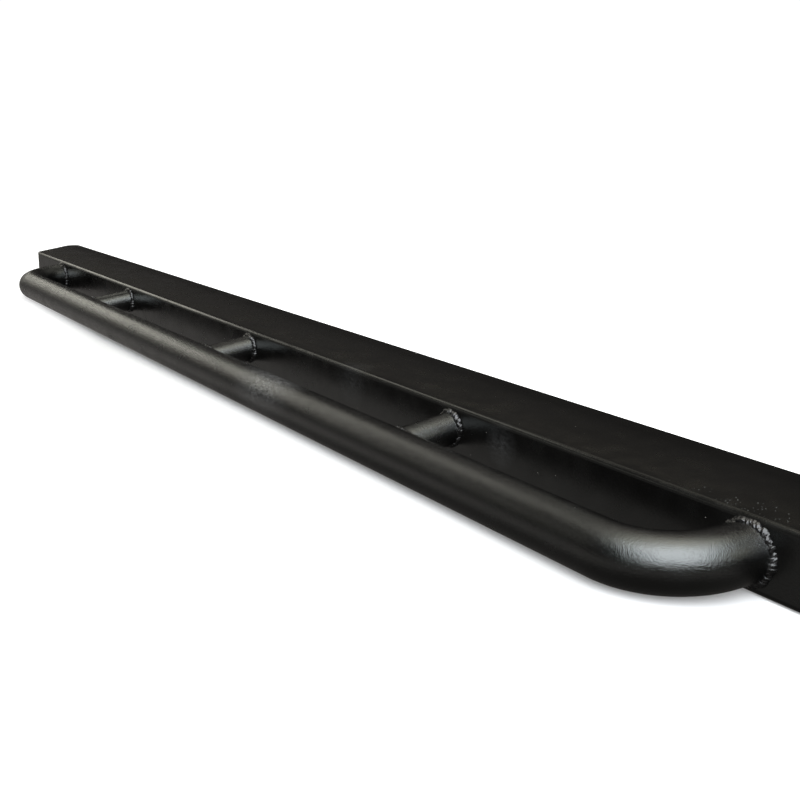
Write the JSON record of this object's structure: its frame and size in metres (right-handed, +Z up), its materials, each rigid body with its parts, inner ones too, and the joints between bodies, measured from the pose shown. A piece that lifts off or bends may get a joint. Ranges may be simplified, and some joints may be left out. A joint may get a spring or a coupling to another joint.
{
  "type": "running board",
  "caption": "Box-section running board with mitred capped ends, a bent round outer rail welded on by round struts, and slotted bolt-on brackets behind.",
  "frame": {"origin": "centre of the middle bracket's two slots, on the underside of its foot, which is level with the underside of the beam and the rail", "axes": "+X along the board (right seen from outside), +Y inwards towards the vehicle, +Z up"},
  "size_m": [2.1454, 0.3061, 0.06],
  "materials": {
    "black_coat": "semi-gloss black powder coat on the beam, light dust on top",
    "rail_coat": "satin black powder coat with fine orange peel on the rail and struts",
    "weld_coat": "powder coat over rippled weld beads, thinner and greyer on the crests",
    "bracket_coat": "satin black powder coat on bent plate",
    "zinc_bolt": "bright zinc plated hex bolts and nuts",
    "zinc_washer": "bright zinc plated washers"
  },
  "bodies": {
    "root": {"bracket_1": "bracket_coat", "bracket_2": "bracket_coat", "bracket_3": "bracket_coat", "bracket_bolts": "zinc_bolt", "bracket_ribs_1": "bracket_coat", "bracket_ribs_2": "bracket_coat", "bracket_ribs_3": "bracket_coat", "end_cap_left": "black_coat", "end_cap_right": "black_coat", "flat_washers": "zinc_washer", "outer_rail": "rail_coat", "rail_weld_left": "weld_coat", "rail_weld_right": "weld_coat", "spring_washers": "zinc_washer", "step_beam": "black_coat", "strut_1": "rail_coat", "strut_2": "rail_coat", "strut_3": "rail_coat", "strut_beam_weld_1": "weld_coat", "strut_beam_weld_2": "weld_coat", "strut_beam_weld_3": "weld_coat", "strut_rail_weld_1": "weld_coat", "strut_rail_weld_2": "weld_coat", "strut_rail_weld_3": "weld_coat", "weld_nuts": "zinc_bolt"}
  },
  "joints": []
}
